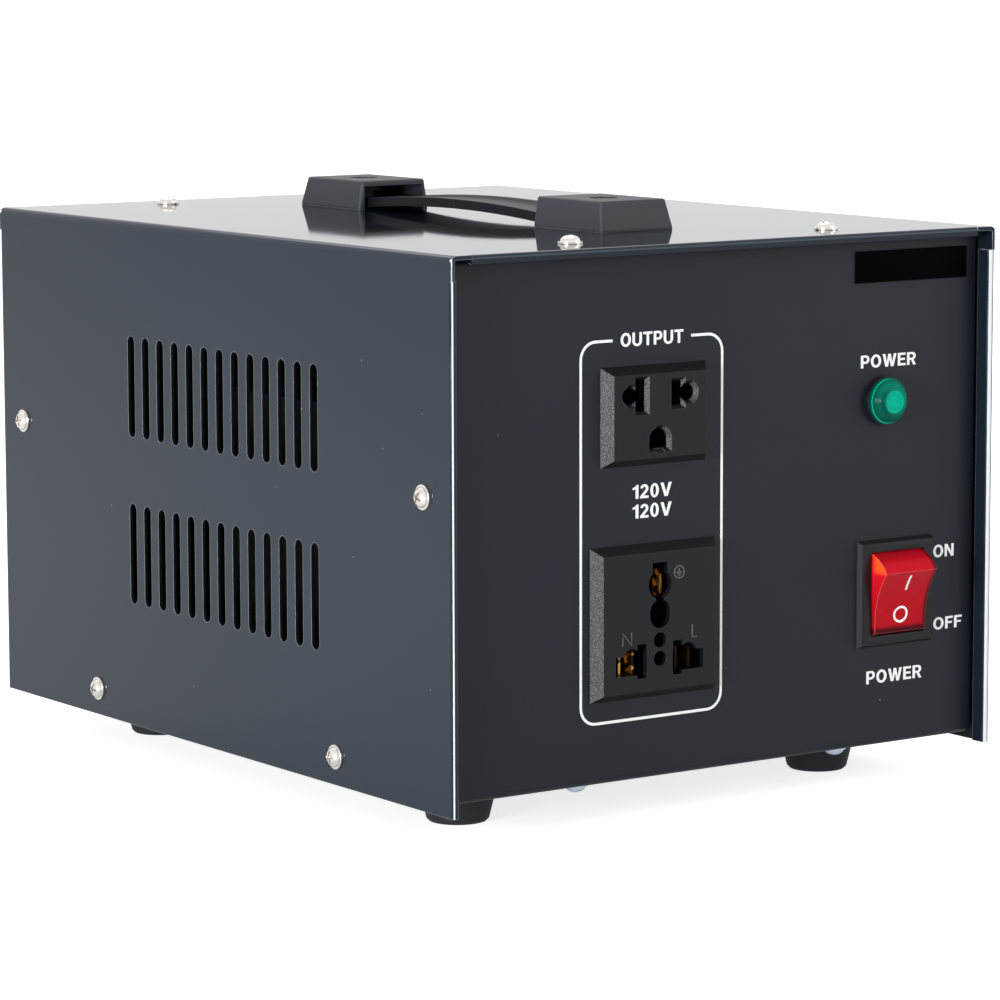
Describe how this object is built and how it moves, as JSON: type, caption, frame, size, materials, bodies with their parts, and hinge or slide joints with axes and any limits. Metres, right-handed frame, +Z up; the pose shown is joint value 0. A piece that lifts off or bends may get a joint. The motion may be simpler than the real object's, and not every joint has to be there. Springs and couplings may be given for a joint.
{
  "type": "isolation transformer",
  "caption": "Bench isolation transformer in a folded steel case with vented sides, strap handle, universal outlet, round-and-flat outlet, pilot lamp and rocker switch",
  "frame": {"origin": "centre of the bounding box in plan, on the plane under the rubber feet", "axes": "+Z up, the control panel faces -Y, +X to the right seen from the front"},
  "size_m": [0.2008, 0.2598, 0.175],
  "materials": {
    "case_paint": "semi-gloss blue-grey powder coat",
    "panel_paint": "fine matt dark grey coat",
    "nickel": "nickel-plated steel",
    "zinc": "bluish zinc plate",
    "foot_rubber": "matt black rubber",
    "handle_plastic": "finely grained black plastic",
    "outlet_plastic": "satin black moulding",
    "switch_black": "satin black moulding",
    "rocker_red": "translucent red moulding",
    "neon_glass": "clear glass",
    "lens_green": "translucent green moulding",
    "brass": "plain brass",
    "core_steel": "varnished lamination edges",
    "bobbin_nylon": "natural nylon",
    "copper_wire": "enamelled copper wire",
    "tape_yellow": "polyester tape",
    "lead_black": "insulated wire",
    "lead_red": "insulated wire"
  },
  "bodies": {
    "case_body": {"cover": "case_paint", "front_panel": "panel_paint", "rear_panel": "panel_paint", "base_plate": "case_paint", "rubber_feet": "foot_rubber", "foot_screws": "zinc", "foot_nuts": "zinc", "cover_top_screws": "nickel", "cover_side_screws": "nickel", "panel_base_screws": "zinc", "clinch_nuts": "zinc", "handle_cap_front": "handle_plastic", "handle_cap_rear": "handle_plastic", "handle_screws": "zinc", "handle_nuts": "zinc", "outlet_duplex_face": "outlet_plastic", "outlet_duplex_back": "outlet_plastic", "outlet_duplex_contacts": "brass", "outlet_universal_face": "outlet_plastic", "outlet_universal_back": "outlet_plastic", "outlet_universal_contacts": "brass", "switch_housing": "switch_black", "switch_terminals": "brass", "switch_lamp": "neon_glass", "lamp_lens": "lens_green", "lamp_body": "outlet_plastic", "lamp_nut": "zinc", "lamp_terminals": "brass", "fuse_holder_body": "switch_black", "fuse_holder_nut": "switch_black", "fuse_contacts": "brass", "cord_gland": "outlet_plastic", "cord_gland_nut": "outlet_plastic", "core_e": "core_steel", "core_i": "core_steel", "bobbin": "bobbin_nylon", "primary_winding": "copper_wire", "secondary_winding": "copper_wire", "winding_wrap": "tape_yellow", "core_brackets": "zinc", "core_bolts": "zinc", "core_nuts": "zinc", "mount_screws": "zinc", "mount_nuts": "zinc", "terminal_block": "outlet_plastic", "terminal_plates": "brass", "terminal_screws": "nickel", "block_screws": "zinc", "primary_leads": "lead_black", "secondary_leads": "lead_red", "earth_stud": "brass", "earth_nut": "brass"},
    "rocker_body": {"switch_rocker": "rocker_red"},
    "handle_body": {"handle_strap": "handle_plastic"},
    "fuse_cap_body": {"fuse_cap": "switch_black", "fuse_glass": "neon_glass", "fuse_ends": "nickel"}
  },
  "joints": [
    {"name": "switch_rock", "type": "hinge", "parent": "case_body", "child": "rocker_body", "pos_m": [0.0645, -0.1191, 0.059], "axis": [-1, 0, 0], "range_deg": [0, 32]},
    {"name": "handle_lift", "type": "slide", "parent": "case_body", "child": "handle_body", "axis": [0, 0, 1], "range_m": [0, 0.014], "deforming": ["handle_strap"]},
    {"name": "fuse_cap_turn", "type": "hinge", "parent": "case_body", "child": "fuse_cap_body", "pos_m": [-0.048, 0.1215, 0.055], "axis": [0, 1, 0], "range_deg": [0, 90]}
  ]
}
